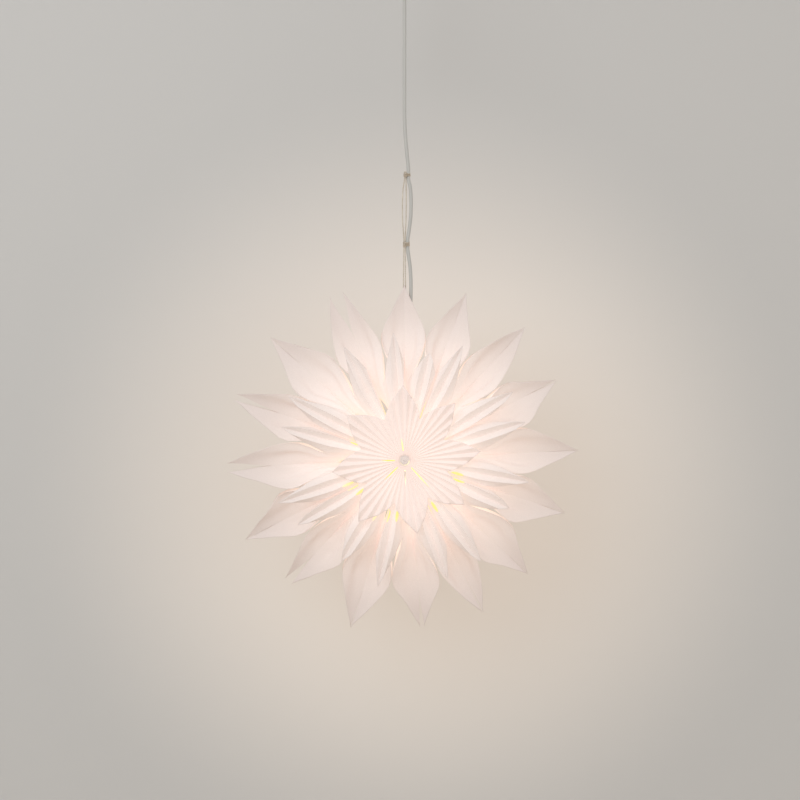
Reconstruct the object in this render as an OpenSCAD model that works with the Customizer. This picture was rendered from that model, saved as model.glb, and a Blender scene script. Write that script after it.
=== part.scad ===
// Hanging paper star lantern: sixteen folded paper pockets stand round an
// axis and are glued to each other along seams. Each seam ends in an outer
// point. Eight pleated petals close the front and eight close the back. A
// lampholder with a globe bulb hangs on its cable in the hollow middle, and
// a twine loop ties the top seam to the cable, which drops from a ceiling cup.
// The front looks along -Y, and the origin is the middle of the cup's rim.

/* [Star] */
// Diameter over the outer points
star_d = 600; // [540:2:660]
// Diameter over the middle petals
mid_d = 424; // [380:2:450]
// Diameter over the inner petals
inner_d = 250; // [230:2:270]
// Depth over the folded front and back edges
fold_depth = 170; // [150:2:190]
// Thickness of the paper, glue side to light side
paper_t = 0.5; // [0.4:0.05:0.7]
// Radius of the silhouette notch between two outer points
crotch_r = 202; // [190:1:212]
// Radius where a middle petal is cut free of the outer point
notch_r = 129; // [120:1:140]
// Half width of the flat glued band of a seam
band_w = 12; // [9:0.5:14]
// Half width of an outer point's blunt end
tip_w = 2.5; // [1.5:0.1:4]

/* [Hollow middle] */
// Radius of the cut-out in the seams at mid depth
core_r = 112; // [104:1:116]
// Length of a window cut in a folded edge
window_l = 22; // [16:1:28]
// Width of a window cut in a folded edge
window_w = 5; // [3:0.5:6]
// Depth of the cut behind the folded edge
window_d = 9; // [7:0.5:11]
// Radius of the ring of paper ends round each hub tie
hub_r = 8; // [7:0.5:10]
// Gap between a petal and the folded edges behind it
petal_gap = 0.3; // [0.2:0.05:0.6]
// Drop of a middle petal's crease behind its ridges at the hub
valley_hub = 2; // [1.5:0.1:3]
// Drop of the crease where the petal is cut free
valley_notch = 12; // [8:0.5:14]
// Drop of the crease at the petal's tip
valley_tip = 3; // [2:0.2:5]

/* [Inner petals] */
// Radius where two inner petals meet
petal_meet_r = 74; // [66:1:84]
// Rise of a pleat at the hub end
pleat_hub = 1.4; // [1:0.1:2]
// Rise of a pleat at the petal's outer end
pleat_rim = 4.8; // [4:0.1:7]
// Lift of a petal's tip off the folds behind it
tip_lift = 5; // [3:0.5:8]
// Radius where the slits in the petals start
slit_r = 16; // [14:0.5:20]
// Width of the slits beside a petal's middle crease
slit_w = 1.8; // [1.2:0.1:2.4]

/* [Hanging] */
// Drop from the ceiling to the middle of the star
drop = 868; // [850:1:1100]
// Diameter of the cable
cable_d = 6; // [5:0.1:6.5]
// Diameter of the twine
twine_d = 2.2; // [1.8:0.1:2.4]
// Height of the punched twine hole over the middle of the star
hole_z = 278; // [270:1:282]
// Clearance of the twine in its hole and of wraps on what they bind
wrap_gap = 0.2; // [0.1:0.05:0.4]

/* [Lampholder] */
// Diameter of the lampholder
holder_d = 28; // [26:0.5:30]
// Height of the lampholder's skirt
skirt_h = 34; // [30:1:36]
// Height of the lampholder's cap under its cord grip
cap_h = 14; // [12:0.5:16]
// Wall of skirt and cap
holder_wall = 2; // [1.5:0.1:2.5]
// Diameter of the bulb's screw base
base_d = 13.6; // [13:0.1:14]
// Diameter of the bulb's globe
globe_d = 45; // [40:1:50]
// Distance of the lampholder's axis from the middle of the star
holder_x = 6; // [4:0.5:8]

/* [Ceiling cup] */
// Diameter of the cup at the ceiling
cup_d = 84; // [76:1:100]
// Height of the cup
cup_h = 48; // [44:1:56]
// Wall of the cup
cup_wall = 1.5; // [1.2:0.1:2.5]

/* [Hidden] */
$fn = 64;
seams = 16;
// Glue between two pockets
glue_t = 0.04;
petals = 8;
rows = 6;
centre_z = -drop;
deep = fold_depth / 2;
point_l = star_d / 2 - crotch_r;

// Small irregularities of a star folded and glued by hand, one value for each
// seam or pocket, counted anticlockwise from the right as the front shows them.
// Degrees that a seam stands ahead of its even place
seam_lean = [2.8, 4.8, 2.5, 2.1, 0, 0.1, 2.9, 2.5, 3, 4.4, 1.6, 4.8, 6, 4.5, 1.9, 3.8];
// Reach of an outer point past its even radius
point_reach = [-2, -7, 5, 3, -2, 6, 10, 9, 6, 5, -9, 3, -10, -5, -10, -10];
// Degrees that each side of an outer point curls off its seam
point_split = [0.1, 0.3, 0.1, 0.1, 0, 2.2, 0.1, 1, 1.4, 0.1, 1.5, 0.1, 0.8, 0.2, 0.1, 0.2];
// Sway of an outer point to the back
point_sway = [4, -5, 6, -3, 0, 5, -6, 3, -4, 7, -8, 5, -3, 6, -5, 3];
// Place of a middle petal between its two seams, 0 to 1
mid_place = [0.6, 0.24, 0.7, 0.36, 0.22, 0.22, 0.62, 0.22, 0.66, 0.22, 0.44, 0.24, 0.66, 0.5, 0.76, 0.4];
// Reach of a middle petal past its even radius
mid_reach = [-1, 2, 2, -27, 2, 4, 9, 2, 11, -3, -13, 4, -1, 2, -20, -1];
// Windows cut in the folded edges: pocket, side of its middle petal, and radius
// as a share of the radius where the petal is cut free
windows = [
    [7, 0, 0.66], [8, 1, 0.79], [9, 0, 0.75], [9, 1, 0.69], [10, 1, 0.8], [11, 0, 0.75],
    [11, 1, 0.72], [13, 0, 0.71], [14, 1, 0.74], [15, 0, 0.7]
];
// Angle of each inner petal's middle crease
petal_angle = [6.9, 48.8, 91.3, 141.9, 189, 232.8, 280, 323.8];
// Reach of an inner petal past its even radius
petal_reach = [2, 2, 0, -3, -3, 2, -2, -2];
// Outer radius of the slit in each inner petal's crease, 0 for none
slit_end = [0, 0, 38, 0, 40, 48, 44, 63];
// Degrees from the middle crease to the slit
slit_turn = [0, 0, 7, 0, -9, -9, -8, -11];

// Fold lines of a pocket from a seam to the middle crease of its front
SEAM = 0;
BAND = 1;
LEAF = 2;
EDGE = 3;
NOTCH = 4;
FLANK = 5;
RIDGE = 6;
VALLEY = 7;

function seam_angle(k) = 360 / seams * k + seam_lean[k % seams];
function smooth(t) = let (s = min(1, max(0, t))) s * s * (3 - 2 * s);
function mix(a, b, t) = a + (b - a) * t;
function place(r, angle, depth) = [r * cos(angle), -depth, centre_z + r * sin(angle)];

// Share of a point's length at which its leaf shape is drawn in, and of a
// middle petal's length at which its flank and its ridge reach the cut edge
leaf_share = 0.54;
flank_share = 0.42;
ridge_share = 0.78;
// Share of the cut-out's radius at which each fold line starts, up to NOTCH
start_share = [1, 0.98, 0.92, 0.8, 0.54];

// Distance from the star's axis at which a fold line starts
function fold_start(f) = f <= NOTCH ? core_r * start_share[f] : f == FLANK ? 1.6 * hub_r : hub_r;

// Distance at which the cut edge ends a fold line
function fold_end(f, k, side) =
    let (tip = star_d / 2 + point_reach[(k + side) % seams], mid = mid_d / 2 + mid_reach[k])
    lookup(f, [
        [SEAM, tip], [BAND, tip - tip_w], [LEAF, mix(crotch_r, tip, leaf_share)],
        [EDGE, crotch_r * (1 + 0.04 * sin(131 * (k + side)))], [NOTCH, notch_r],
        [FLANK, mix(notch_r, mid, flank_share)], [RIDGE, mix(notch_r, mid, ridge_share)], [VALLEY, mid]
    ]);

// Degrees between a middle petal's crease and its fold lines
function petal_half(f, r) = lookup(f, [
    [NOTCH, 11],
    [FLANK, lookup(r, [[notch_r, 8.6], [0.39 * mid_d, 5.6]])],
    [RIDGE, lookup(r, [[notch_r, 4.2], [0.46 * mid_d, 1.9]])],
    [VALLEY, 0]
]);

// Degrees from the seam to a fold line, in one half of the pocket
function fold_turn(f, k, side, r) =
    let (
        a = seam_angle(k),
        width = seam_angle(k + 1) - a,
        half = side == 0 ? mid_place[k] * width : (1 - mid_place[k]) * width,
        notch = half - min(petal_half(NOTCH, r), 0.93 * half),
        out = smooth((r - notch_r) / (crotch_r - notch_r))
    )
    f == SEAM || f == BAND ? 0 :
    f == LEAF ? mix(notch * 0.3, width * mix(0.26, 0.2, (r - crotch_r) / (0.6 * point_l)), out) :
    f == EDGE ? mix(notch * 0.6, width * 0.487, out) :
    half - min(petal_half(f, r), (1.07 - 0.035 * f) * half);

// Distance of a fold line in front of the star's middle plane
function fold_front(f, r) =
    let (out = smooth((r - notch_r) / (crotch_r - notch_r)))
    f == SEAM ? 0 :
    f == BAND ? lookup(r, [[crotch_r, band_w * 0.9], [star_d / 2, tip_w]]) :
    f == LEAF ? mix(band_w * 2, band_w * 1.3, out) :
    f == EDGE ? mix(deep * 0.46, deep * 0.34, out) :
    f == NOTCH ? deep * 0.66 :
    let (edge = deep * (1 - 0.165 * smooth((r - notch_r) / (mid_d / 2 - notch_r))))
    f == FLANK ? edge - deep * 0.15 :
    f == RIDGE ? edge :
    edge - lookup(r, [[hub_r, valley_hub], [notch_r, valley_notch], [mid_d / 2, valley_tip]]);

// Share of the paper's thickness that goes towards the pocket's middle, and
// towards the star's middle plane, at each fold line
fold_wall = [[1, 0], [1, 0.4], [0.6, 0.8], [0.6, 0.8], [1, 0.3], [0.8, 0.6], [0, 1.5], [0, 1]];

function fold_point(line, k, row, wall) =
    let (
        f = line[0], side = line[1], face = line[2],
        start = fold_start(f), r = mix(start, fold_end(f, k, side), row / rows),
        way = side == 0 ? 1 : -1,
        seam = seam_angle(k + side),
        split = point_split[(k + side) % seams] * smooth((r - crotch_r) / (0.8 * point_l) - 0.25),
        turn = fold_turn(f, k, side, r) + (f <= EDGE ? split : 0),
        angle = seam + way * turn,
        front = fold_front(f, r),
        sway = f <= EDGE ? point_sway[(k + side) % seams] * smooth((r - crotch_r) / (0.8 * point_l)) : 0,
        inset = wall * paper_t
    )
    place(r, angle, face * (front - inset * fold_wall[f][1]) + sway)
        + (inset * fold_wall[f][0] + glue_t / 2) * way * [-sin(angle), 0, cos(angle)];

// The fold lines once round a pocket: front, then back
pocket_lines = concat(
    [for (f = [SEAM:VALLEY]) [f, 0, 1]],
    [for (f = [RIDGE:-1:SEAM]) [f, 1, 1]],
    [for (f = [BAND:VALLEY]) [f, 1, -1]],
    [for (f = [RIDGE:-1:BAND]) [f, 0, -1]]
);

// Faces of a sheet whose points run line by line, first the outside of every
// line and then the inside. A closed sheet joins its last line to its first.
function sheet_faces(lines, points, closed) =
    let (half = lines * points, last = closed ? lines - 1 : lines - 2)
    concat(
        [for (c = [0:last], i = [0:points - 2])
            let (a = c * points + i, b = ((c + 1) % lines) * points + i)
            each [[a, a + 1, b], [b, a + 1, b + 1], [half + a, half + b, half + a + 1],
                [half + b, half + b + 1, half + a + 1]]],
        [for (c = [0:last])
            let (a = c * points, b = ((c + 1) % lines) * points)
            each [[a, b, half + b], [a, half + b, half + a],
                [a + points - 1, half + a + points - 1, half + b + points - 1],
                [a + points - 1, half + b + points - 1, b + points - 1]]],
        closed ? [] : [for (i = [0:points - 2])
            let (z = (lines - 1) * points + i)
            each [[i, half + i, half + i + 1], [i, half + i + 1, i + 1],
                [z, z + 1, half + z + 1], [z, half + z + 1, half + z]]]
    );

// One folded sheet, closed to a tube by its glued edge
module pocket_sheet(k) {
    count = len(pocket_lines);
    polyhedron(
        points = [for (wall = [0, 1], c = [0:count - 1], i = [0:rows])
            fold_point(pocket_lines[c], k, i, wall)],
        faces = sheet_faces(count, rows + 1, true),
        convexity = 8
    );
}

// Angle of a middle petal's folded edge, on the side of seam k or of the next
function ridge_angle(k, side, r) =
    seam_angle(k + side) + (side == 0 ? 1 : -1) * fold_turn(RIDGE, k, side, r);

// A pointed oval through a folded edge of the front (face 1) or the back (-1)
module window_cut(k, side, r, face) {
    arc = [for (t = [0:3]) [window_l / 2 * cos(45 * t), window_w / 2 * sin(45 * t)]];
    translate([0, -face * deep, centre_z]) rotate([0, -ridge_angle(k, side, r), 0])
        translate([r, 0, 0]) rotate([90, 0, 0])
        linear_extrude(height = 2 * window_d, center = true)
        polygon(concat(arc, [for (p = arc) -p]));
}

// The back's windows stand half a turn round from the front's. The two pockets
// beside the top seam are punched for the twine.
module pocket(k) {
    far = (k + seams / 2) % seams;
    color("mistyrose") difference() {
        pocket_sheet(k);
        for (w = windows) {
            if (w[0] == k) window_cut(k, w[1], w[2] * notch_r, 1);
            if (w[0] == far) window_cut(k, 1 - w[1], w[2] * notch_r, -1);
        }
        if (k == 3 || k == 4) translate([0, 0, centre_z + hole_z]) rotate([0, 90, 0])
            cylinder(d = twine_d + 4 * wrap_gap, h = 4 * paper_t, center = true, $fn = 24);
    }
}

petal_lines = 13;
petal_rows = 4;
petal_mid = (petal_lines - 1) / 2;
// How far the cut edge reaches from the meeting radius to the tip, at shares
// of the way from the middle crease to the next petal
petal_outline = [[0, 1], [0.17, 0.79], [0.5, 0.48], [0.84, 0.15], [1, 0]];

function petal_turn(j) = petal_angle[(j + petals) % petals] + 360 * floor(j / petals);

function petal_point(j, c, row, wall) =
    let (
        side = c < petal_mid ? -1 : 1,
        off = abs(c - petal_mid) / petal_mid,
        meet = (petal_turn(j) + petal_turn(j + side)) / 2,
        meet_gap = off == 1 ? side * 0.25 : 0,
        tip = inner_d / 2 + petal_reach[j],
        end = mix(petal_meet_r, tip, lookup(off, petal_outline)),
        r = mix(hub_r, end, row / petal_rows),
        angle = mix(petal_turn(j), meet, off) - meet_gap,
        rise = c % 2 == 0 ? 0 : mix(pleat_hub, pleat_rim, (r - hub_r) / (petal_meet_r - hub_r)),
        lift = tip_lift * smooth((r / petal_meet_r - 0.6) / (inner_d / 2 / petal_meet_r - 0.6)) * (1 - off),
        back = deep + petal_gap
    )
    place(r, angle, back + rise + lift + (1 - wall) * paper_t);

// One pleated petal of the front, a fan of six pleats with a pointed middle
module petal_sheet(j) {
    polyhedron(
        points = [for (wall = [0, 1], c = [0:petal_lines - 1], i = [0:petal_rows])
            petal_point(j, c, i, wall)],
        faces = sheet_faces(petal_lines, petal_rows + 1, false),
        convexity = 6
    );
}

// Some petals have a slit beside their middle crease
module petal(j) {
    color("seashell")
    if (slit_end[j] > 0) difference() {
        petal_sheet(j);
        translate([0, -deep, centre_z])
            rotate([0, -petal_angle[j] - slit_turn[j], 0])
            translate([slit_r, -4 * pleat_rim, -slit_w / 2])
            cube([slit_end[j] - slit_r, 6 * pleat_rim, slit_w]);
    } else petal_sheet(j);
}

// A tube swept along points that lie in one upright plane, open or closed.
// Each point is [x, height over the middle of the star].
function route_way(route, i, closed) =
    let (
        n = len(route),
        a = closed ? route[(i + n - 1) % n] : route[max(0, i - 1)],
        b = closed ? route[(i + 1) % n] : route[min(n - 1, i + 1)]
    )
    (b - a) / norm(b - a);

module tube(route, d, sides, closed = false) {
    n = len(route);
    points = [for (i = [0:n - 1], s = [0:sides - 1])
        let (way = route_way(route, i, closed), u = cos(360 * s / sides) * d / 2)
        [route[i][0] + u * way[1], sin(360 * s / sides) * d / 2, centre_z + route[i][1] - u * way[0]]];
    skin = [for (i = [0:(closed ? n - 1 : n - 2)], s = [0:sides - 1])
        let (j = ((i + 1) % n) * sides, t = (s + 1) % sides)
        each [[i * sides + s, i * sides + t, j + s], [i * sides + t, j + t, j + s]]];
    ends = closed ? [] : [
        [for (s = [sides - 1:-1:0]) s],
        [for (s = [0:sides - 1]) (n - 1) * sides + s]
    ];
    polyhedron(points = points, faces = concat(skin, ends), convexity = 6);
}

// Heights over the middle of the star, bottom to top: the globe is centred
globe_gap = 11;
base_h = 23;
base_z = globe_d / 2 + globe_gap;
skirt_z = base_z - 1;
insert_h = 9;
insert_z = base_z + base_h;
insert_top = insert_z + insert_h;
cap_z = skirt_z + skirt_h;
fit_gap = 0.3;
grip_d = 14;
nipple_d = 10;
grip_h = 10;
roof_t = 2;
holder_top = cap_z + cap_h + grip_h;

// Strap, terminal block and screws of the ceiling cup
bracket_t = 2;
bracket_w = 14;
strap_hole_x = 22;
strap_hole_d = 5;
block_l = 24;
block_w = 16;
block_h = 12;
ear_h = 12;
cup_floor = 3;
screw_d = 4;
side_screw_z = -bracket_t - ear_h / 2;

// Heights over the middle of the star: binding, upper hitch
bind_z = 367;
hitch_z = 486;
bind_turns = 4;
hitch_turns = 3;
strand_x = twine_d / 2 + wrap_gap / 2;
loop_r = twine_d / 2 + wrap_gap;
apex_x = 1.2;
cable_bind_x = strand_x + twine_d / 2 + wrap_gap + cable_d / 2;
cable_hitch_x = apex_x + loop_r + twine_d / 2 + wrap_gap + cable_d / 2;

// The twine loop, anticlockwise: through the punched hole, up the right of the
// top seam, through the binding, round the apex and down again on the left
hole_bend = paper_t + wrap_gap + twine_d / 2;
twine_route = concat(
    [for (a = [-90:30:90]) [hole_bend * sin(a), hole_z + hole_bend * (1 - cos(a))]],
    [[hole_bend, 300], [1.5, 330], [strand_x, bind_z - 10], [strand_x, bind_z + 10]],
    [[1.7, 388], [2.6, 410], [3, 434], [2.9, 458], [apex_x + loop_r, hitch_z - 8]],
    [for (a = [0:30:180]) [apex_x + loop_r * cos(a), hitch_z + 4 + loop_r * sin(a)]],
    [[apex_x - loop_r, hitch_z - 8], [-2.4, 462], [-3.6, 436], [-3.2, 408], [-1.9, 388]],
    [[-strand_x, bind_z + 10], [-strand_x, bind_z - 10], [-1.5, 330], [-hole_bend, 300]]
);

// The cable from the lampholder up to the ceiling cup
cable_route = concat(
    [[holder_x, insert_top], [holder_x, insert_top + 12], [holder_x, holder_top]],
    [[6, 106], [6.1, 122], [6.4, 140], [7, 158], [7.6, 176], [8.3, 194], [9, 212]],
    [[9.6, 230], [10.2, 248], [10.7, 266], [11, 284], [11, 300], [10.5, 316], [9.2, 332]],
    [[7.2, 346], [cable_bind_x, bind_z - 8], [cable_bind_x, bind_z + 8], [7.4, 388]],
    [[9.6, 404], [10.9, 420], [11.3, 436], [10.9, 452], [9.6, 466]],
    [[cable_hitch_x, hitch_z - 8], [cable_hitch_x, hitch_z + 8], [5.6, 508], [4, 524]],
    [[2.4, 542], [1.1, 560], [0.3, 578], [0, 596]],
    [for (z = [614:18:drop - cup_h - grip_h - 10]) [0, z]],
    [[0, drop - cup_h - grip_h], [0, drop - cup_h], [0, drop - bracket_t - block_h]]
);

module twine_loop() {
    color("tan") tube(twine_route, twine_d, 8, closed = true);
}

module cable() {
    color("gainsboro") tube(cable_route, cable_d, 8);
}

// Outline round two cords that lie side by side, the cable on the right
module bound_outline(left, right, out) {
    end_r = cable_d / 2 + wrap_gap;
    from = left - wrap_gap + end_r;
    translate([from, 0]) circle(r = end_r + out);
    translate([right, 0]) circle(r = end_r + out);
    translate([from, -end_r - out]) square([right - from, 2 * (end_r + out)]);
}

// Turns of twine wound round cable and strands, with a knot at the front
module wrap(left, right, height, turns) {
    translate([0, 0, centre_z + height]) {
        difference() {
            union() {
                translate([0, 0, -turns * twine_d / 2])
                    linear_extrude(height = turns * twine_d) bound_outline(left, right, 0.75 * twine_d);
                for (i = [0:turns - 1])
                    translate([0, 0, (i - turns / 2 + 0.15) * twine_d])
                    linear_extrude(height = 0.7 * twine_d) bound_outline(left, right, twine_d);
                translate([(left + right) / 2, -cable_d / 2 - twine_d, 0]) sphere(r = 0.9 * twine_d, $fn = 32);
            }
            translate([0, 0, -turns * twine_d])
                linear_extrude(height = 2 * turns * twine_d) bound_outline(left, right, 0);
        }
    }
}

module twine_binding() {
    color("burlywood") wrap(-strand_x - twine_d / 2, cable_bind_x, bind_z, bind_turns);
}

module twine_hitch() {
    color("burlywood") wrap(apex_x - loop_r - twine_d / 2, cable_hitch_x, hitch_z, hitch_turns);
}

// Ring of thread that draws the paper ends together, knotted over the middle
module hub_tie(face) {
    thread_r = 1.1;
    ring_r = hub_r - petal_gap - thread_r;
    color("antiquewhite")
    translate([0, -face * (deep + petal_gap), centre_z]) {
        rotate([90, 0, 0]) rotate_extrude() translate([ring_r, 0]) circle(r = thread_r, $fn = 24);
        for (a = [20, 110]) rotate([0, a, 0]) cylinder(r = thread_r * 0.9, h = 2 * ring_r, center = true, $fn = 24);
        translate([0, -face * thread_r, 0]) sphere(r = 2.6, $fn = 32);
    }
}

// Puts a turned piece on the lampholder's axis, at a height over the middle
module on_holder(height) {
    translate([holder_x, 0, centre_z + height]) children();
}

module bulb() {
    neck_r = base_d / 2;
    color("lightyellow") on_holder(0) {
        sphere(d = globe_d);
        cylinder(r1 = globe_d / 2 * 0.86, r2 = neck_r, h = base_z);
        translate([0, 0, base_z]) cylinder(r = neck_r, h = base_h - 3);
        translate([0, 0, base_z + base_h - 3]) cylinder(r1 = neck_r, r2 = 3, h = 3);
    }
}

// Sleeve that the bulb's base screws into
module screw_shell() {
    color("goldenrod") on_holder(base_z + 2) difference() {
        cylinder(d = base_d + 2 * fit_gap + 1.2, h = base_h - 2);
        translate([0, 0, -1]) cylinder(d = base_d + 2 * fit_gap, h = base_h);
    }
}

// Block with the lampholder's two contacts
module contact_insert() {
    color("ivory") on_holder(insert_z)
        cylinder(d = holder_d - 2 * holder_wall - 2 * fit_gap, h = insert_h);
}

module lampholder_skirt() {
    color("white") on_holder(skirt_z) difference() {
        cylinder(d = holder_d, h = skirt_h);
        translate([0, 0, -1]) cylinder(d = holder_d - 2 * holder_wall, h = skirt_h + 2);
    }
}

module lampholder_cap() {
    color("white") on_holder(cap_z) difference() {
        union() {
            cylinder(d = holder_d, h = cap_h * 0.6);
            translate([0, 0, cap_h * 0.6]) cylinder(d1 = holder_d, d2 = grip_d + 2, h = cap_h * 0.4);
        }
        translate([0, 0, -1]) cylinder(d = holder_d - 2 * holder_wall, h = cap_h * 0.6 + 1 - roof_t);
        translate([0, 0, -1]) cylinder(d = grip_d, h = cap_h - roof_t + 1);
        cylinder(d = nipple_d + 2 * fit_gap, h = 2 * cap_h);
    }
}

// Cord grip: a nipple through a roof and a head that stands on it
module grip() {
    difference() {
        union() {
            translate([0, 0, -roof_t]) cylinder(d = nipple_d, h = roof_t);
            cylinder(d = grip_d, h = grip_h * 0.6);
            translate([0, 0, grip_h * 0.6]) cylinder(d1 = grip_d, d2 = cable_d + 3, h = grip_h * 0.4);
        }
        translate([0, 0, -roof_t - 1]) cylinder(d = cable_d + wrap_gap, h = grip_h + roof_t + 2);
    }
}

module holder_cord_grip() {
    color("white") on_holder(cap_z + cap_h) grip();
}

// Cup that covers the ceiling connection, open at the top
module ceiling_cup() {
    color("white") difference() {
        rotate_extrude() difference() {
            union() {
                translate([0, -cup_h]) square([cup_d / 2 - 10, cup_h]);
                translate([0, -cup_h + 10]) square([cup_d / 2, cup_h - 10]);
                translate([cup_d / 2 - 10, -cup_h + 10]) circle(r = 10);
            }
            translate([0, -cup_h + cup_floor]) square([cup_d / 2 - 10, cup_h + 1]);
            translate([0, -cup_h + 10]) square([cup_d / 2 - cup_wall, cup_h]);
            translate([cup_d / 2 - 10, -cup_h + 10]) circle(r = 10 - cup_wall - 0.01);
            translate([-cup_d, -cup_h - 1]) square([cup_d + nipple_d / 2 + fit_gap, cup_h + 2]);
        }
        for (side = [-1, 1])
            translate([side * (cup_d / 2), 0, side_screw_z]) rotate([0, 90, 0])
            cylinder(d = screw_d + 2 * wrap_gap, h = 8 * cup_wall, center = true);
    }
}

module cup_cord_grip() {
    color("white") translate([0, 0, -cup_h]) mirror([0, 0, 1]) grip();
}

// Steel strap against the ceiling, its ears turned down beside the cup's wall
module ceiling_bracket() {
    half = cup_d / 2 - cup_wall - fit_gap - 1;
    color("silver") difference() {
        union() {
            translate([-half, -bracket_w / 2, -bracket_t]) cube([2 * half, bracket_w, bracket_t]);
            for (side = [-1, 1])
                translate([side * (half - bracket_t / 2) - bracket_t / 2, -bracket_w / 2, -bracket_t - ear_h])
                cube([bracket_t, bracket_w, ear_h]);
        }
        for (side = [-1, 1]) {
            translate([side * strap_hole_x, 0, -bracket_t - 1]) cylinder(d = strap_hole_d, h = bracket_t + 2);
            translate([side * half, 0, side_screw_z]) rotate([0, 90, 0])
                cylinder(d = screw_d + 2 * wrap_gap, h = 4 * bracket_t, center = true);
        }
    }
}

// The two screws that fix the cup's wall to the strap's ears
module cup_screws() {
    half = cup_d / 2 - cup_wall - fit_gap - 1;
    color("silver") for (side = [-1, 1])
        translate([side * cup_d / 2, 0, side_screw_z]) rotate([0, side * 90, 0]) {
            translate([0, 0, 0.2]) cylinder(d = screw_d + 3, h = 2);
            translate([0, 0, half - cup_d / 2 - bracket_t - 1]) cylinder(d = screw_d, h = cup_d / 2 - half + bracket_t + 2);
        }
}

// Block that the cable's cores are clamped in
module terminal_block() {
    color("ivory") translate([-block_l / 2, -block_w / 2, -bracket_t - block_h]) cube([block_l, block_w, block_h]);
}

POCKETS = [for (k = [0:seams - 1]) str("pocket_", k + 1)];
FRONT = [for (j = [0:petals - 1]) str("front_petal_", j + 1)];
BACK = [for (j = [0:petals - 1]) str("back_petal_", j + 1)];

for (k = [0:seams - 1]) pocket(k);
for (j = [0:petals - 1]) petal(j);
for (j = [0:petals - 1]) mirror([0, 1, 0]) petal(j);
hub_tie(1);  // front_hub_tie
hub_tie(-1);  // back_hub_tie
twine_loop();
twine_binding();
twine_hitch();
cable();
bulb();
screw_shell();
contact_insert();
lampholder_skirt();
lampholder_cap();
holder_cord_grip();
ceiling_cup();
cup_cord_grip();
ceiling_bracket();
cup_screws();
terminal_block();
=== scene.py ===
import math

import bmesh
import bpy
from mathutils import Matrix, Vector, noise


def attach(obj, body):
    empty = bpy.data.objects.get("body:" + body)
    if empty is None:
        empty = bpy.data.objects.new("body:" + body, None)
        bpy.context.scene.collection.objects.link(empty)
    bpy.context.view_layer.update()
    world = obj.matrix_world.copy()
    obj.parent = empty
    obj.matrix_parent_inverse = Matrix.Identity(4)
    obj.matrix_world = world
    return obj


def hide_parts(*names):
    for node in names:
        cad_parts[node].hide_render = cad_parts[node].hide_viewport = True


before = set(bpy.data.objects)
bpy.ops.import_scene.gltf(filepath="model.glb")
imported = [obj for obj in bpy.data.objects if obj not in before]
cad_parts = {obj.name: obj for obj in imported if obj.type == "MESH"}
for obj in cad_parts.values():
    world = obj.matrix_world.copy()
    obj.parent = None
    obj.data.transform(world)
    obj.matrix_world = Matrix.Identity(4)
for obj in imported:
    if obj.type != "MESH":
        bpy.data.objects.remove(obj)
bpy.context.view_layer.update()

# Sizes in metres, as the frame has them. The star's middle is the bulb's globe.
STAR = Vector((0, 0, -0.868))
BULB = Vector((0.006, 0, STAR.z))
CABLE_D = 0.006
TWINE_D = 0.0022
WRAP_GAP = 0.0002
PAPER_T = 0.0005
# Thickness of one strand, as a share of the twine or thread that it is in
PLY_SHARE = 0.52

# The photograph's frame: 800 pixels a side, the star's middle at this pixel
FRAME_PX = 800
STAR_PX = (404.5, 458.5)
METRES_A_PX = 0.001714
CAMERA_DISTANCE = 2.6

scene = bpy.context.scene
scene.view_settings.view_transform = "Standard"


# Camera
def make_camera():
    """Level camera in front of the star, with the star where the photograph has it."""
    data = bpy.data.cameras.new("camera")
    data.sensor_width = 36
    data.lens = data.sensor_width * CAMERA_DISTANCE / (FRAME_PX * METRES_A_PX)
    camera = bpy.data.objects.new("camera", data)
    scene.collection.objects.link(camera)
    middle = FRAME_PX / 2
    right = (STAR_PX[0] - middle) * METRES_A_PX
    down = (STAR_PX[1] - middle) * METRES_A_PX
    camera.location = (STAR.x - right, -CAMERA_DISTANCE, STAR.z + down)
    camera.rotation_euler = (math.pi / 2, 0, 0)
    scene.camera = camera


make_camera()


# Materials
class Wire:
    """A value or colour on its way through a material's nodes; sums on it add the nodes."""

    def __init__(self, tree, socket):
        self.tree = tree
        self.socket = socket

    def sum(self, operation, *values):
        kind = "ShaderNodeMath"
        if self.socket.type in ("VECTOR", "RGBA"):
            kind = "ShaderNodeVectorMath"
            values = tuple((value,) * 3 if isinstance(value, (int, float)) else value for value in values)
        return add_node(self.tree, kind, {"operation": operation}, dict(enumerate((self,) + values)))

    def __add__(self, other):
        return self.sum("ADD", other)

    def __sub__(self, other):
        return self.sum("SUBTRACT", other)

    def __mul__(self, other):
        return self.sum("MULTIPLY", other)

    def __rsub__(self, other):
        return (self * -1).sum("ADD", other)

    __radd__ = __add__
    __rmul__ = __mul__

    def between(self, low, high):
        """0 at low, 1 at high and a soft step from one to the other."""
        return add_node(self.tree, "ShaderNodeMapRange", {"interpolation_type": "SMOOTHSTEP"},
                        {"Value": self, "From Min": low, "From Max": high})


def add_node(tree, kind, settings=None, inputs=None, out=0):
    """Any node: its settings are set first, then its sockets take values or wires."""
    node = tree.nodes.new(kind)
    for name, value in (settings or {}).items():
        setattr(node, name, value)
    for name, value in (inputs or {}).items():
        socket = node.inputs[name]
        if isinstance(value, Wire):
            tree.links.new(value.socket, socket)
        elif socket.type == "RGBA" and len(value) == 3:
            socket.default_value = (*value, 1)
        else:
            socket.default_value = value
    return Wire(tree, node.outputs[out])


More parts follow.
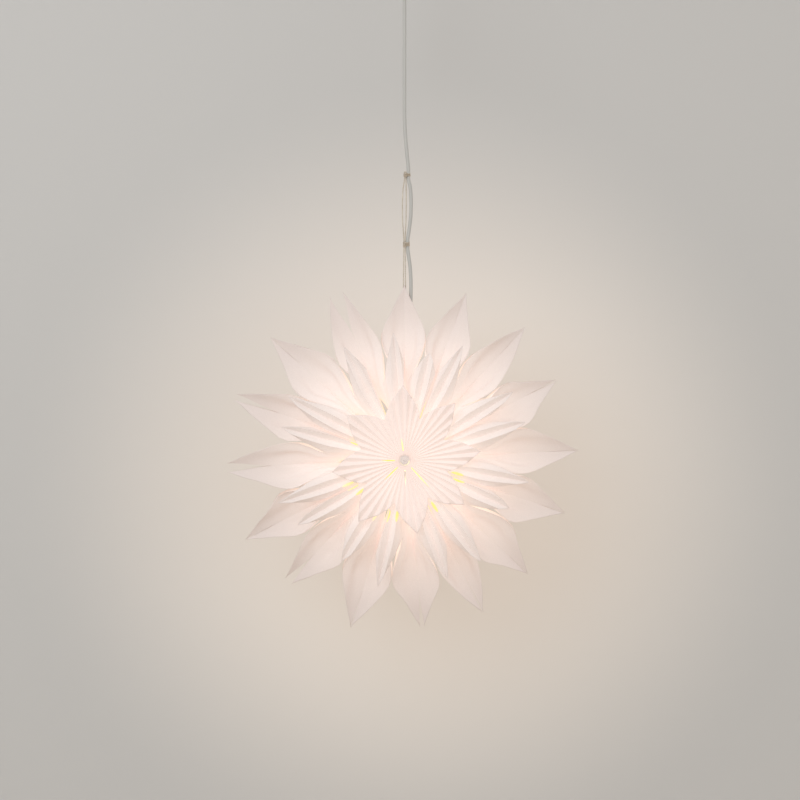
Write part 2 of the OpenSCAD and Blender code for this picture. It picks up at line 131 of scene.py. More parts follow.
class Finish:
    """One material: its constants on the shader, and the wires that vary it."""

    def __init__(self, name, **constants):
        self.material = bpy.data.materials.new(name)
        self.material.use_nodes = True
        self.tree = self.material.node_tree
        self.shader = self.tree.nodes["Principled BSDF"]
        for socket, value in constants.items():
            self.set(socket, value)

    def set(self, name, value):
        socket = self.shader.inputs[name.replace("_", " ")]
        if isinstance(value, Wire):
            self.tree.links.new(value.socket, socket)
        elif socket.type == "RGBA":
            socket.default_value = (*value, 1)
        else:
            socket.default_value = value

    def node(self, kind, settings=None, inputs=None, out=0):
        return add_node(self.tree, kind, settings, inputs, out)

    def place(self):
        return self.node("ShaderNodeTexCoord", out=3)

    def facing(self):
        """The surface's own direction, before any bump."""
        return self.node("ShaderNodeNewGeometry", out=3)

    def noise(self, scale, detail=2.0, roughness=0.5, vector=None):
        return self.node("ShaderNodeTexNoise", None, {
            "Vector": vector or self.place(), "Scale": scale, "Detail": detail, "Roughness": roughness})

    def mix(self, factor, one, other):
        """A colour between two colours."""
        return self.node("ShaderNodeMix", {"data_type": "RGBA"}, {0: factor, 6: one, 7: other}, out=2)

    def bump(self, height, strength, distance):
        self.set("Normal", self.node("ShaderNodeBump", None, {
            "Strength": strength, "Distance": distance, "Height": height}))


def stretched(finish, scale):
    """Object coordinates drawn out, for fibres and brushed metal."""
    return finish.node("ShaderNodeMapping", None, {"Vector": finish.place(), "Scale": scale})


PAPER = (0.70, 0.655, 0.64)
# The lamp's light in the paper, near the bulb and far from it, and the distances between which it falls off
GLOW_NEAR = (0.41, 0.325, 0.285)
GLOW_FAR = (0.05, 0.012, 0.0)
# Painted lamp light added on the paper's light side, near the bulb and far from it
INSIDE_GLOW_NEAR = (0.24, 0.20, 0.175)
INSIDE_GLOW_FAR = (0.13, 0.105, 0.09)
GLOW_FROM, GLOW_TO = 0.09, 0.298
# Light in the folds that lie deep between the star's two faces, by depth
FOLD_GLOW, FOLD_FROM, FOLD_TO = 0.3, 0.02, 0.085
# Painted bulb light on paper seen through an opening: its yellow, and the radii from which it fades and at
# which it ends
LIT_YELLOW = (0.66, 0.60, 0.15), 0.098, 0.145
OPEN_LIT_YELLOW = (0.58, 0.51, 0.11), 0.064, 0.072


def paper_glow(finish, inside, yellow):
    """Light of the bulb in the paper: it falls off from the middle and follows how the paper faces it."""
    place = finish.place()
    offset = place - tuple(BULB)
    away = finish.node("ShaderNodeVectorMath", {"operation": "LENGTH"}, {0: offset}, out=1)
    line = offset.sum("NORMALIZE")
    facing = finish.node("ShaderNodeVectorMath", {"operation": "DOT_PRODUCT"},
                         {0: line, 1: finish.facing()}, out=1).sum("ABSOLUTE")
    flat = finish.node("ShaderNodeSeparateXYZ", None, {0: offset})
    up = finish.node("ShaderNodeSeparateXYZ", None, {0: offset}, out=2)
    radius = (flat * flat + up * up).sum("SQRT")
    near = 1 - away.between(GLOW_FROM, GLOW_TO)
    colour = finish.mix(near, GLOW_FAR, GLOW_NEAR)
    blotches = finish.noise(22, 3, 0.55)
    depth = finish.node("ShaderNodeSeparateXYZ", None, {0: place}, out=1).sum("ABSOLUTE")
    folds = 1 - depth.between(FOLD_FROM, FOLD_TO)
    level = (0.78 + facing * 0.22) * (0.88 + blotches * 0.24) * (1 + folds * FOLD_GLOW)
    colour = finish.mix(level, (0, 0, 0), colour)
    # On the light side the painted glow is raised and more painted lamp light is added
    if inside:
        colour = colour * 1.3 + finish.mix(near, INSIDE_GLOW_FAR, INSIDE_GLOW_NEAR)
    # Painted yellow bulb light on paper seen through openings, shaded by how the paper faces the bulb
    if yellow:
        bright, full, end = yellow
        shaded = finish.mix(0.72 + facing * 0.28, (0, 0, 0), bright)
        colour = finish.mix(radius.between(full, end), shaded, colour)
    return colour


def paper(name, tint=(1, 1, 1), inside=False, yellow=None):
    """White craft paper with short fibres, a faint cockle and the lamp's light in it."""
    finish = Finish(name, Roughness=0.82, Specular_IOR_Level=0.25)
    fibres = finish.noise(1.0, 4, 0.65, stretched(finish, (520, 520, 1500)))
    specks = finish.noise(950, 2, 0.5)
    cockle = finish.noise(34, 2, 0.5)
    # Painted shade: on the light side the same paper's base colour is a quarter darker
    base = tuple(a * b * (0.75 if inside else 1) for a, b in zip(PAPER, tint))
    cloudy = (fibres * 0.6 + specks * 0.4).between(0.3, 0.7)
    darker, lighter = (tuple(min(1, c * share) for c in base) for share in (0.955, 1.03))
    finish.set("Base Color", finish.mix(cloudy, darker, lighter))
    finish.bump(fibres * 0.15 + specks * 0.1 + cockle, 0.35, 0.0012)
    finish.set("Emission Color", paper_glow(finish, inside, yellow))
    finish.set("Emission Strength", 1.0)
    return finish.material


STAR_PAPER = paper("star paper", yellow=OPEN_LIT_YELLOW)
STAR_LIGHT_SIDE = paper("star paper, light side", inside=True, yellow=LIT_YELLOW)
PETAL_PAPER = paper("petal paper", tint=(0.95, 0.91, 0.90))
PETAL_LIGHT_SIDE = paper("petal paper, light side", inside=True)


def cord_fibre(name, dark, light, roughness=0.9):
    """Twisted plant fibre: threads along the twist, with paler and darker ones."""
    finish = Finish(name, Roughness=roughness, Specular_IOR_Level=0.2)
    threads = finish.noise(1.0, 3, 0.6, stretched(finish, (2600, 2600, 700)))
    patches = finish.noise(90, 2, 0.5)
    finish.set("Base Color", finish.mix((threads * 0.75 + patches * 0.25).between(0.32, 0.68), dark, light))
    finish.bump(threads, 0.8, 0.0003)
    return finish.material


TWINE = cord_fibre("jute twine", (0.40, 0.345, 0.275), (0.74, 0.68, 0.59))
TWINE_DARK = cord_fibre("jute twine, bound", (0.36, 0.30, 0.23), (0.70, 0.62, 0.52))
THREAD = cord_fibre("cotton thread", (0.86, 0.77, 0.75), (0.98, 0.90, 0.87))


def moulded(name, colour, roughness, grain=0.25, coat=0.0):
    """Moulded plastic: an even colour with faint clouding, and a fine moulded grain."""
    finish = Finish(name, Coat_Weight=coat)
    clouds = finish.noise(60, 3, 0.6)
    grains = finish.noise(2400, 2, 0.5)
    finish.set("Base Color", finish.mix(clouds, tuple(c * 0.93 for c in colour), colour))
    finish.set("Roughness", roughness - 0.05 + clouds * 0.12)
    finish.bump(grains, grain, 0.00012)
    return finish.material


CABLE_SHEATH = moulded("cable sheath", (0.48, 0.477, 0.458), 0.42, 0.35)
HOLDER_PLASTIC = moulded("holder plastic", (0.80, 0.79, 0.76), 0.35)
CUP_PLASTIC = moulded("cup plastic", (0.80, 0.79, 0.77), 0.30, 0.2, 0.15)
CERAMIC = moulded("glazed ceramic", (0.82, 0.80, 0.74), 0.18, 0.1, 0.6)


def metal(name, bright, dull, roughness, scratch):
    """Drawn metal with lines from its making and dull patches."""
    finish = Finish(name, Metallic=1.0)
    lines = finish.noise(1.0, 3, 0.6, stretched(finish, scratch))
    tarnish = finish.noise(110, 4, 0.6).between(0.42, 0.72)
    finish.set("Base Color", finish.mix(tarnish, bright, dull))
    finish.set("Roughness", roughness + tarnish * 0.2 + lines * 0.1)
    finish.bump(lines, 0.3, 0.0001)
    return finish.material


BRASS = metal("brass", (0.78, 0.57, 0.25), (0.48, 0.33, 0.14), 0.25, (300, 300, 4000))
STEEL = metal("zinc steel", (0.62, 0.62, 0.61), (0.44, 0.43, 0.42), 0.30, (260, 3600, 3600))


def opal_glass():
    """Opal glass of a lit bulb: brightest where the filament stands behind it."""
    finish = Finish("opal glass", Roughness=0.12, Coat_Weight=0.5)
    offset = finish.place() - tuple(BULB)
    away = finish.node("ShaderNodeVectorMath", {"operation": "LENGTH"}, {0: offset}, out=1)
    haze = finish.noise(70, 2, 0.5)
    finish.set("Base Color", finish.mix(haze, (0.86, 0.82, 0.74), (0.93, 0.90, 0.84)))
    neck = away.between(0.0225, 0.045)
    finish.set("Emission Color", finish.mix(neck, (1.0, 0.86, 0.42), (0.45, 0.30, 0.08)))
    finish.set("Emission Strength", 1.0)
    return finish.material


OPAL_GLASS = opal_glass()


# Placing finished pieces
def finish_piece(piece, slot, material, *nodes):
    """A piece takes its material, rides on the lantern and stands for its nodes."""
    if material is not None:
        piece.data.materials.clear()
        piece.data.materials.append(material)
    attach(piece, "root")
    if nodes:
        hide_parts(*nodes)
    return piece


def mesh_piece(name, shape, smooth=True):
    """An object from a finished bmesh."""
    data = bpy.data.meshes.new(name)
    shape.to_mesh(data)
    shape.free()
    for face in data.polygons:
        face.use_smooth = smooth
    piece = bpy.data.objects.new(name, data)
    scene.collection.objects.link(piece)
    return piece


# Lines and tubes
def over_star(points):
    """Points given as x and height over the star's middle, in millimetres, as points of the frame."""
    return [Vector((x / 1000, 0, STAR.z + z / 1000)) for x, z in points]


def smooth_line(points, steps, closed=False):
    """A Catmull-Rom line through the points."""
    n = len(points)
    line = []
    for i in range(n if closed else n - 1):
        p = [points[(i + k) % n] if closed else points[min(n - 1, max(0, i + k))] for k in (-1, 0, 1, 2)]
        for s in range(steps):
            line.append(spline_point(p, s / steps))
    return line if closed else line + [points[-1].copy()]


def spline_point(p, t):
    """A point of the Catmull-Rom curve between the two middle ones of four."""
    return 0.5 * (2 * p[1] + (p[2] - p[0]) * t + (2 * p[0] - 5 * p[1] + 4 * p[2] - p[3]) * t * t
                  + (3 * p[1] - p[0] - 3 * p[2] + p[3]) * t ** 3)


def curve_piece(name, lines, diameter, closed=False, sides=3):
    """Round tubes along lines, as one curve object."""
    data = bpy.data.curves.new(name, "CURVE")
    data.dimensions = "3D"
    data.bevel_depth = diameter / 2
    data.bevel_resolution = sides
    data.use_fill_caps = True
    for line in lines:
        spline = data.splines.new("POLY")
        spline.points.add(len(line) - 1)
        for point, place in zip(spline.points, line):
            point.co = (*place, 1)
        spline.use_cyclic_u = closed
        spline.use_smooth = True
    piece = bpy.data.objects.new(name, data)
    scene.collection.objects.link(piece)
    return piece


def plies(line, diameter, lay, closed=False, count=3):
    """The twisted strands that a twine along the line is made of. lay is the length of one twist."""
    n = len(line)
    lines = [[] for _ in range(count)]
    total = sum((line[(i + 1) % n] - line[i]).length for i in range(n if closed else n - 1))
    lay = total / max(1, round(total / lay))
    turned = 0
    side = Vector((0, 1, 0))
    for i, place in enumerate(line):
        after = line[(i + 1) % n] if closed else line[min(n - 1, i + 1)]
        before = line[i - 1] if closed or i else line[0]
        way = (after - before).normalized()
        side = (side - way * side.dot(way)).normalized()
        other = way.cross(side)
        for k in range(count):
            angle = 2 * math.pi * (turned / lay + k / count)
            lines[k].append(place + (side * math.cos(angle) + other * math.sin(angle)) * diameter * 0.24)
        turned += (after - place).length
    return lines


# Cable, from the lampholder's contacts up to the block in the ceiling cup
CABLE_ROUTE = over_star([
    (6, 65.5), (6, 78), (6, 91.5), (6, 106), (6.1, 122), (6.4, 140), (7, 158), (7.6, 176), (8.3, 194),
    (9, 212), (9.6, 230), (10.2, 248), (10.7, 266), (11, 284), (11, 300), (10.5, 316), (9.2, 332),
    (7.2, 346), (5.5, 359), (5.5, 375), (7.4, 388), (9.6, 404), (10.9, 420), (11.3, 436), (10.9, 452),
    (9.6, 466), (6.8, 478), (6.8, 494), (5.6, 508), (4, 524), (2.4, 542), (1.1, 560), (0.3, 578),
    (0, 596), (0, 646), (0, 704), (0, 762), (0, 810), (0, 820), (0, 854),
])


def line_length(line):
    return sum((b - a).length for a, b in zip(line, line[1:]))


def make_cable():
    line = smooth_line(CABLE_ROUTE, 5)
    cable = curve_piece("supply_cable", [line], CABLE_D, sides=5)
    finish_piece(cable, "cable", CABLE_SHEATH, "cable")
    round(line_length(line), 3)


make_cable()


# Folded paper. A sheet is a grid whose columns are its fold lines, with the paper curved between them.
SEAMS = 16
SEAM, BAND, LEAF, EDGE, NOTCH, FLANK, RIDGE, VALLEY = range(8)
TIP_R, MID_R, CROTCH_R, NOTCH_R, CORE_R, HUB_R = 0.300, 0.212, 0.202, 0.129, 0.112, 0.008
DEEP = 0.085
BAND_W, TIP_W = 0.012, 0.0025
POINT_L = TIP_R - CROTCH_R
# By seam: its lean in degrees, its point's reach in mm, split in degrees and sway in mm
SEAM_LEAN = (2.8, 4.8, 2.5, 2.1, 0, 0.1, 2.9, 2.5, 3, 4.4, 1.6, 4.8, 6, 4.5, 1.9, 3.8)
POINT_REACH = (-2, -7, 5, 3, -2, 6, 10, 9, 6, 5, -9, 3, -10, -5, -10, -10)
POINT_SPLIT = (0.1, 0.3, 0.1, 0.1, 0, 2.2, 0.1, 1, 1.4, 0.1, 1.5, 0.1, 0.8, 0.2, 0.1, 0.2)
POINT_SWAY = (4, -5, 6, -3, 0, 5, -6, 3, -4, 7, -8, 5, -3, 6, -5, 3)
# By pocket: where its middle petal stands between the seams, and the petal's reach in mm
MID_PLACE = (0.6, 0.24, 0.7, 0.36, 0.22, 0.22, 0.62, 0.22, 0.66, 0.22, 0.44, 0.24, 0.66, 0.5, 0.76, 0.4)
MID_REACH = (-1, 2, 2, -27, 2, 4, 9, 2, 11, -3, -13, 4, -1, 2, -20, -1)
# Openings in folded edges: the pocket, the edge, and the place as a share of NOTCH_R
WINDOWS = ((7, 0, 0.66), (8, 1, 0.79), (9, 0, 0.75), (9, 1, 0.69), (10, 1, 0.8), (11, 0, 0.75),
           (11, 1, 0.72), (13, 0, 0.71), (14, 1, 0.74), (15, 0, 0.7))
# Where the fold lines start and end, as shares
START_SHARE = (1, 0.98, 0.92, 0.8, 0.54)
LEAF_SHARE, FLANK_SHARE, RIDGE_SHARE = 0.54, 0.42, 0.78
SHARP = (BAND, NOTCH, FLANK, RIDGE, VALLEY)
# How freely the paper cockles at each fold line: not at all where it is glued
LOOSE = (0, 0.1, 1, 1, 0.5, 0.6, 0.4, 0.5)
# With no seed of its own the noise would cockle the paper another way each run
noise.seed_set(16)


def mix(a, b, t):
    return a + (b - a) * t


def soft(t):
    t = min(1, max(0, t))
    return t * t * (3 - 2 * t)


def lookup(x, table):
    """The value at x on the straight lines between the table's pairs."""
    if x <= table[0][0]:
        return table[0][1]
    for (x0, y0), (x1, y1) in zip(table, table[1:]):
        if x <= x1:
            return mix(y0, y1, (x - x0) / (x1 - x0))
    return table[-1][1]


def seam_angle(k):
    return 360 / SEAMS * k + SEAM_LEAN[k % SEAMS]


def polar(r, angle, depth):
    a = math.radians(angle)
    return Vector((r * math.cos(a), -depth, STAR.z + r * math.sin(a)))


def fold_start(f):
    """Radius at which fold line f starts."""
    if f <= NOTCH:
        return CORE_R * START_SHARE[f]
    return 1.6 * HUB_R if f == FLANK else HUB_R


def fold_end(f, k, side):
    """Radius of the cut edge at fold line f."""
    tip = TIP_R + POINT_REACH[(k + side) % SEAMS] / 1000
    mid = MID_R + MID_REACH[k] / 1000
    return (tip, tip - TIP_W, mix(CROTCH_R, tip, LEAF_SHARE),
            CROTCH_R * (1 + 0.04 * math.sin(math.radians(131 * (k + side)))), NOTCH_R,
            mix(NOTCH_R, mid, FLANK_SHARE), mix(NOTCH_R, mid, RIDGE_SHARE), mid)[f]


def petal_half(f, r):
    """Half the middle petal's width at a fold line, in degrees."""
    if f == FLANK:
        return lookup(r, ((NOTCH_R, 8.6), (0.78 * MID_R, 5.6)))
    if f == RIDGE:
        return lookup(r, ((NOTCH_R, 4.2), (0.92 * MID_R, 1.9)))
    return 11 if f == NOTCH else 0


def fold_turn(f, k, side, r):
    """Degrees from the seam to fold line f, on one side of pocket k."""
    a = seam_angle(k)
    width = seam_angle(k + 1) - a
    half = (MID_PLACE[k] if side == 0 else 1 - MID_PLACE[k]) * width
    notch = half - min(petal_half(NOTCH, r), 0.93 * half)
    out = soft((r - NOTCH_R) / (CROTCH_R - NOTCH_R))
    if f <= BAND:
        return 0
    if f == LEAF:
        return mix(notch * 0.3, width * mix(0.26, 0.2, (r - CROTCH_R) / (0.6 * POINT_L)), out)
    if f == EDGE:
        return mix(notch * 0.6, width * 0.487, out)
    return half - min(petal_half(f, r), (1.07 - 0.035 * f) * half)


def fold_front(f, r):
    """How far fold line f stands in front of the star's middle plane."""
    out = soft((r - NOTCH_R) / (CROTCH_R - NOTCH_R))
    edge = DEEP * (1 - 0.165 * soft((r - NOTCH_R) / (MID_R - NOTCH_R)))
    if f == SEAM:
        return 0
    if f == BAND:
        return lookup(r, ((CROTCH_R, BAND_W * 0.9), (TIP_R, TIP_W)))
    if f == LEAF:
        return mix(BAND_W * 2, BAND_W * 1.3, out)
    if f == EDGE:
        return mix(DEEP * 0.46, DEEP * 0.34, out)
    if f == NOTCH:
        return DEEP * 0.66
    if f == FLANK:
        return edge - DEEP * 0.15
    if f == RIDGE:
        return edge
    return edge - lookup(r, ((HUB_R, 0.002), (NOTCH_R, 0.012), (MID_R, 0.003)))


def fold_point(line, k, share):
    """A point of one fold line of a pocket, from its inner end at 0 to the cut edge at 1."""
    f, side, face = line
    seam = (k + side) % SEAMS
    r = mix(fold_start(f), fold_end(f, k, side), share)
    way = 1 if side == 0 else -1
    turn = fold_turn(f, k, side, r)
    sway = 0
    if f <= EDGE:
        turn += POINT_SPLIT[seam] * soft((r - CROTCH_R) / (0.8 * POINT_L) - 0.25)
        sway = POINT_SWAY[seam] / 1000 * soft((r - CROTCH_R) / (0.8 * POINT_L))
    angle = seam_angle(k + side) + way * turn
    return polar(r, angle, face * fold_front(f, r) + sway)


POCKET_LINES = ([(f, 0, 1) for f in range(SEAM, VALLEY + 1)]
                + [(f, 1, 1) for f in range(RIDGE, SEAM - 1, -1)]
                + [(f, 1, -1) for f in range(BAND, VALLEY + 1)]
                + [(f, 0, -1) for f in range(RIDGE, SEAM, -1)])
BETWEEN = 4
ROWS = 40


def grid_sheet(columns, rows, place, is_sharp, closed):
    """A grid bent to a folded sheet: place gives each point, is_sharp says which columns are creases."""
    sheet = bmesh.new()
    bmesh.ops.create_grid(sheet, x_segments=columns, y_segments=rows, size=0.5)
    for vert in sheet.verts:
        column = round((vert.co.x + 0.5) * columns)
        row = round((vert.co.y + 0.5) * rows)
        vert.tag = is_sharp(column)
        vert.co = place(column, row / rows)
    for edge in sheet.edges:
        edge.smooth = not (edge.verts[0].tag and edge.verts[1].tag)
    if closed:
        bmesh.ops.remove_doubles(sheet, verts=sheet.verts, dist=0.000001)
    return sheet


def pocket_place(k):
    """Where the columns of pocket k run: straight across folds, curved over the soft lines."""
    count = len(POCKET_LINES)

    def place(column, share):
        at = (column // BETWEEN) % count
        part = column % BETWEEN / BETWEEN
        share = share ** 0.9
        ends = [fold_point(POCKET_LINES[(at + step) % count], k, share) for step in (-1, 0, 1, 2)]
        if part == 0:
            point = ends[1]
        else:
            if POCKET_LINES[at][0] in SHARP:
                ends[0] = 2 * ends[1] - ends[2]
            if POCKET_LINES[(at + 1) % count][0] in SHARP:
                ends[3] = 2 * ends[2] - ends[1]
            point = spline_point(ends, part)
        radius = Vector((point.x, point.z - STAR.z)).length
        free = mix(LOOSE[POCKET_LINES[at][0]], LOOSE[POCKET_LINES[(at + 1) % count][0]], part)
        return point + 0.0026 * free * soft((radius - 0.10) / 0.08) * noise.noise_vector(point * 21)

    return place


def outwards(shape, middle):
    """Turns the faces away from the middle."""
    total = sum(face.normal.dot(face.calc_center_median() - middle) * face.calc_area()
                for face in shape.faces)
    if total < 0:
        bmesh.ops.reverse_faces(shape, faces=shape.faces)


def prism(outline, low, high):
    """A closed shape over an outline of x and height, between two depths."""
    shape = bmesh.new()
    face = shape.faces.new([shape.verts.new((x, low, z)) for x, z in outline])
    grown = bmesh.ops.extrude_face_region(shape, geom=[face])
    far_end = [part for part in grown["geom"] if isinstance(part, bmesh.types.BMVert)]
    bmesh.ops.translate(shape, vec=(0, high - low, 0), verts=far_end)
    bmesh.ops.recalc_face_normals(shape, faces=shape.faces)
    return shape


def cut_out(piece, cutters):
    """Cuts closed shapes out of a piece, and keeps the result as its mesh."""
    tools = [mesh_piece("cutter", cutter, smooth=False) for cutter in cutters]
    for tool in tools:
        cut = piece.modifiers.new("cut", "BOOLEAN")
        cut.operation = "DIFFERENCE"
        cut.solver = "EXACT"
        cut.object = tool
    graph = bpy.context.evaluated_depsgraph_get()
    made = bpy.data.meshes.new_from_object(piece.evaluated_get(graph), depsgraph=graph)
    piece.modifiers.clear()
    piece.data = made
    for tool in tools:
        bpy.data.objects.remove(tool)


def slot_outline(radius, angle, outline):
    """An outline of points along and across a ray from the star's middle."""
    a = math.radians(angle)
    return [((radius + u) * math.cos(a) - v * math.sin(a),
             STAR.z + (radius + u) * math.sin(a) + v * math.cos(a)) for u, v in outline]


def folded_paper(name, sheet, node, slot, outer, light_side, cutters=()):
    """A sheet gets the paper's thickness and both its sides' finish, and stands for its node."""
    piece = mesh_piece(name, sheet)
    piece.data.materials.append(outer)
    piece.data.materials.append(light_side)
    thick = piece.modifiers.new("paper thickness", "SOLIDIFY")
    thick.thickness = PAPER_T
    thick.offset = -1
    thick.material_offset = 1
    thick.material_offset_rim = 0
    if cutters:
        cut_out(piece, cutters)
    return finish_piece(piece, slot, None, node)


WINDOW_L, WINDOW_W, WINDOW_D = 0.022, 0.005, 0.009
WINDOW = [(WINDOW_L / 2 * math.cos(math.radians(45 * t)), WINDOW_W / 2 * math.sin(math.radians(45 * t)))
          for t in range(8)]


def window(k, side, r, face):
    """The opening in a folded edge of a pocket's front or back."""
    angle = seam_angle(k + side) + (1 if side == 0 else -1) * fold_turn(RIDGE, k, side, r)
    return prism(slot_outline(r, angle, WINDOW), -face * (DEEP + WINDOW_D), -face * (DEEP - WINDOW_D))


def pocket_windows(k):
    far = (k + SEAMS // 2) % SEAMS
    return ([window(k, side, r * NOTCH_R, 1) for at, side, r in WINDOWS if at == k]
            + [window(k, 1 - side, r * NOTCH_R, -1) for at, side, r in WINDOWS if at == far])


def make_pocket(k):
    sheet = grid_sheet(len(POCKET_LINES) * BETWEEN, ROWS, pocket_place(k),
                       lambda column: column % BETWEEN == 0
                       and POCKET_LINES[column // BETWEEN % len(POCKET_LINES)][0] in SHARP, True)
    sheet.normal_update()
    centre = sum((v.co for v in sheet.verts), Vector()) / len(sheet.verts)
    outwards(sheet, centre)
    folded_paper(f"folded_pocket_{k + 1}", sheet, f"pocket_{k + 1}", "star_paper",
                 STAR_PAPER, STAR_LIGHT_SIDE, pocket_windows(k))


for k in range(SEAMS):
    make_pocket(k)


# Pleated petals that close the front and the back
PETALS = 8
PETAL_LINES = 13
# By petal: its turn in degrees, its reach in mm, its slit's end in mm and turn in degrees
PETAL_ANGLE = (6.9, 48.8, 91.3, 141.9, 189, 232.8, 280, 323.8)
PETAL_REACH = (2, 2, 0, -3, -3, 2, -2, -2)
SLIT_END = (0, 0, 38, 0, 40, 48, 44, 63)
SLIT_TURN = (0, 0, 7, 0, -9, -9, -8, -11)
PETAL_TIP_R, MEET_R = 0.125, 0.074
PETAL_OUTLINE = ((0, 1), (0.17, 0.79), (0.5, 0.48), (0.84, 0.15), (1, 0))
PETAL_GAP = 0.0003
SLIT_R, SLIT_W = 0.016, 0.0024


def petal_turn(j):
    return PETAL_ANGLE[j % PETALS] + 360 * (j // PETALS)


def petal_fold(j, c, share):
    """A point of pleat line c of a petal, from the hub at 0 to the cut edge at 1."""
    middle = (PETAL_LINES - 1) / 2
    side = -1 if c < middle else 1
    off = abs(c - middle) / middle
    meet = (petal_turn(j) + petal_turn(j + side)) / 2
    tip = PETAL_TIP_R + PETAL_REACH[j] / 1000
    end = mix(MEET_R, tip, lookup(off, PETAL_OUTLINE))
    r = mix(HUB_R, end, share)
    angle = mix(petal_turn(j), meet, off)
    rise = 0 if c % 2 == 0 else mix(0.0014, 0.0048, (r - HUB_R) / (MEET_R - HUB_R))
    lift = 0.005 * soft((r / MEET_R - 0.6) / (PETAL_TIP_R / MEET_R - 0.6)) * (1 - off)
    return polar(r, angle, DEEP + PETAL_GAP + rise + lift + PAPER_T)


def make_petal(j, face):
    def place(column, share):
        c, part = divmod(column, 2)
        point = petal_fold(j, c, share)
        if part:
            point = (point + petal_fold(j, c + 1, share)) / 2
        return Vector((point.x, point.y * face, point.z))

    sheet = grid_sheet(2 * (PETAL_LINES - 1), 24, place, lambda column: column % 2 == 0, False)
    sheet.normal_update()
    outwards(sheet, STAR)
    side = "front" if face == 1 else "back"
    slits = []
    if SLIT_END[j]:
        length = SLIT_END[j] / 1000 - SLIT_R
        outline = slot_outline(SLIT_R, PETAL_ANGLE[j] + SLIT_TURN[j],
                               [(0, -SLIT_W / 3), (length / 2, -SLIT_W / 2), (length, 0),
                                (length / 2, SLIT_W / 2), (0, SLIT_W / 3)])
        slits = [prism(outline, -face * DEEP * 0.7, -face * DEEP * 1.2)]
    folded_paper(f"{side}_pleated_petal_{j + 1}", sheet, f"{side}_petal_{j + 1}", "petal_paper",
                 PETAL_PAPER, PETAL_LIGHT_SIDE, slits)


for j in range(PETALS):
    make_petal(j, 1)
    make_petal(j, -1)


# Twine loop
def arc(x, z, radius, start, end, steps):
    angles = [math.radians(mix(start, end, i / steps)) for i in range(steps + 1)]
    return [(x + radius * math.cos(a), z + radius * math.sin(a)) for a in angles]


TWINE_ROUTE = over_star(
    arc(0, 279.8, 1.8, -90, 0, 4) + [
        (1.8, 300), (1.5, 330), (1.2, 357), (1.2, 377), (1.7, 388), (2.6, 410), (3, 434), (2.9, 458),
        (2.5, 478)]
    + arc(1.2, 490, 1.3, 0, 180, 6) + [
        (-0.1, 478), (-2.4, 462), (-3.6, 436), (-3.2, 408), (-1.9, 388), (-1.2, 377), (-1.2, 357),
        (-1.5, 330), (-1.8, 300)] + arc(0, 279.8, 1.8, 180, 270, 4)[:-1])


def make_twine_loop():
    line = smooth_line(TWINE_ROUTE, 10, closed=True)
    strands = plies(line, TWINE_D, 0.007, closed=True)
    loop = curve_piece("twisted_twine_loop", strands, TWINE_D * PLY_SHARE, closed=True)
    finish_piece(loop, "twine", TWINE, "twine_loop")


make_twine_loop()


def wrap_line(left, right, height, turns):
    """The helix of a twine wound round the cords between left and right."""
    reach = CABLE_D / 2 + WRAP_GAP + TWINE_D / 2
    half = (right - left) / 2 - WRAP_GAP - CABLE_D / 2
    middle = (left + CABLE_D / 2 + right) / 2
    line = []
    steps = 40
    for i in range(round(turns * steps) + 1):
        turn = i / steps
        angle = 2 * math.pi * turn + math.pi / 2
        wide = max(0, half)
        across = math.cos(angle)
        x = middle + math.copysign(wide, across) * min(1, abs(across) * 2.2) + reach * across
        y = reach * math.sin(angle)
        line.append(Vector((x, -y, STAR.z + height + (turn - turns / 2) * TWINE_D * 0.98)))
    return line


def make_wrap(name, node, left, right, height, turns):
    line = wrap_line(left, right, height, turns - 0.2)
    lines = plies(line, TWINE_D, 0.006)
    knot_at = Vector(((left + right) / 2, -CABLE_D / 2 - TWINE_D * 1.35, STAR.z + height))
    bight = [knot_at + Vector((TWINE_D * 0.95 * math.cos(a), -TWINE_D * 0.45 * math.sin(2 * a),
                               TWINE_D * 0.8 * math.sin(a))) for a in
             [math.radians(15 * i) for i in range(24)]]
    lines += plies(bight + [bight[0]], TWINE_D, 0.006)
    wrap = curve_piece(name, lines, TWINE_D * PLY_SHARE)
    finish_piece(wrap, "twine_dark", TWINE_DARK, node)


STRAND_X = TWINE_D / 2 + WRAP_GAP / 2
make_wrap("wound_binding", "twine_binding", -STRAND_X - TWINE_D / 2, 0.0055, 0.367, 4)
make_wrap("wound_hitch", "twine_hitch", -0.0001 - TWINE_D / 2, 0.0068, 0.486, 3)


# Thread rings that draw the paper ends together at both hubs
THREAD_D = 0.0016


def make_hub_tie(face):
    y = -face * (DEEP + PETAL_GAP)
    ring_r = HUB_R - PETAL_GAP - 0.0011
    lines = []
    ring = [Vector((ring_r * math.cos(a), y + 0.0003 * math.sin(5 * a), STAR.z + ring_r * math.sin(a)))
            for a in [math.radians(6 * i) for i in range(61)]]
    lines += plies(ring, THREAD_D, 0.004)
    coil = []
    for i in range(301):
        a, r = math.radians(6 * i), mix(HUB_R * 0.99, 0.0004, i / 300)
        coil.append(Vector((r * math.cos(a), y - face * (0.0006 + 0.0018 * (1 - (r / HUB_R) ** 2)),
                            STAR.z + r * math.sin(a))))
    lines += plies(coil, THREAD_D * 1.15, 0.004)
    knot = [Vector((0.0019 * math.sin(2 * a), y - face * (0.0026 + 0.0009 * math.cos(3 * a)),
                    STAR.z + 0.0021 * math.cos(a) * math.cos(2 * a) + 0.0006 * math.sin(a)))
            for a in [math.radians(6 * i) for i in range(61)]]
    lines += plies(knot, THREAD_D, 0.004)
    side = "front" if face == 1 else "back"
    tie = curve_piece(f"{side}_thread_tie", lines, THREAD_D * PLY_SHARE)
    finish_piece(tie, "thread", THREAD, f"{side}_hub_tie")


make_hub_tie(1)
make_hub_tie(-1)


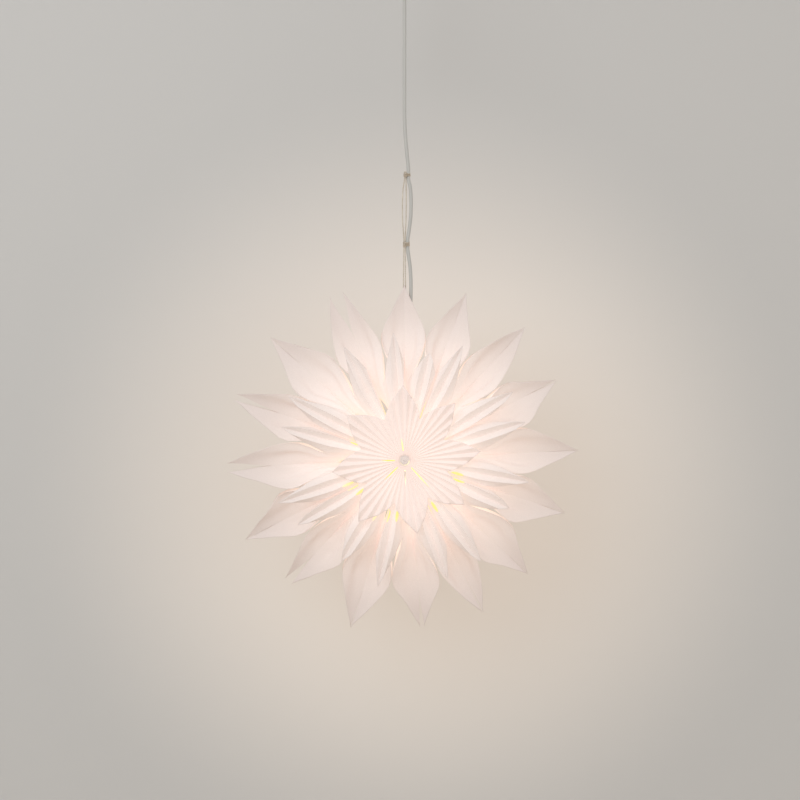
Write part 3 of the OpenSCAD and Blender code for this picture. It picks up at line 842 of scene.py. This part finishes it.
# Better finish for the CAD nodes that stay
for node, material in {
        "bulb": OPAL_GLASS, "screw_shell": BRASS, "contact_insert": CERAMIC,
        "lampholder_skirt": HOLDER_PLASTIC, "lampholder_cap": HOLDER_PLASTIC,
        "holder_cord_grip": HOLDER_PLASTIC, "ceiling_cup": CUP_PLASTIC, "cup_cord_grip": CUP_PLASTIC,
        "ceiling_bracket": STEEL, "cup_screws": STEEL, "terminal_block": CERAMIC}.items():
    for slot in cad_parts[node].material_slots:
        slot.material = material


# Wall, floor and light
def stage_plane(name, corners, colour, lit=False):
    """A plain surface behind or below the lantern, clear from its far side, with the lamp's light if lit."""
    shape = bmesh.new()
    shape.faces.new([shape.verts.new(c) for c in corners])
    plane = mesh_piece(name, shape, smooth=False)
    finish = Finish(name, Base_Color=colour, Roughness=0.95)
    if lit:
        away = finish.node("ShaderNodeVectorMath", {"operation": "DISTANCE"},
                           {0: finish.place(), 1: (STAR.x + 0.02, WALL_Y, STAR.z - 0.06)}, out=1)
        finish.set("Emission Color", finish.mix(away.between(0.20, 0.78), WALL_GLOW, (0, 0, 0)))
        finish.set("Emission Strength", 1.0)
    surface = finish.node("ShaderNodeMixShader", None, {
        0: finish.node("ShaderNodeNewGeometry", out=6), 1: Wire(finish.tree, finish.shader.outputs[0]),
        2: finish.node("ShaderNodeBsdfTransparent")})
    finish.tree.links.new(surface.socket, finish.tree.nodes["Material Output"].inputs["Surface"])
    plane.data.materials.append(finish.material)


WALL_Y, WALL_TOP, FLOOR_Z, REACH = 0.26, 2.5, -2.1, 6.0
WALL_GLOW = (0.27, 0.215, 0.165)
stage_plane("wall", [(-REACH, WALL_Y, FLOOR_Z), (REACH, WALL_Y, FLOOR_Z), (REACH, WALL_Y, WALL_TOP),
                     (-REACH, WALL_Y, WALL_TOP)], (0.545, 0.538, 0.53), lit=True)
stage_plane("floor", [(-REACH, -REACH, FLOOR_Z), (REACH, -REACH, FLOOR_Z), (REACH, WALL_Y, FLOOR_Z),
                      (-REACH, WALL_Y, FLOOR_Z)], (0.64, 0.58, 0.50))


def soft_light(name, place, target, size, power, colour):
    data = bpy.data.lights.new(name, "AREA")
    data.shape = "SQUARE"
    data.size = size
    data.energy = power
    data.color = colour
    light = bpy.data.objects.new(name, data)
    scene.collection.objects.link(light)
    light.location = place
    light.rotation_euler = (Vector(target) - Vector(place)).to_track_quat("-Z", "Y").to_euler()


soft_light("window light", (-1.4, -2.4, 0.4), STAR, 2.2, 26, (0.94, 0.98, 1.0))
soft_light("room light", (1.6, -2.4, -1.2), STAR, 2.2, 9, (1.0, 0.90, 0.80))
world = bpy.data.worlds.new("room")
world.use_nodes = True
world.node_tree.nodes["Background"].inputs["Color"].default_value = (1.0, 0.985, 0.965, 1)
world.node_tree.nodes["Background"].inputs["Strength"].default_value = 0.80
scene.world = world
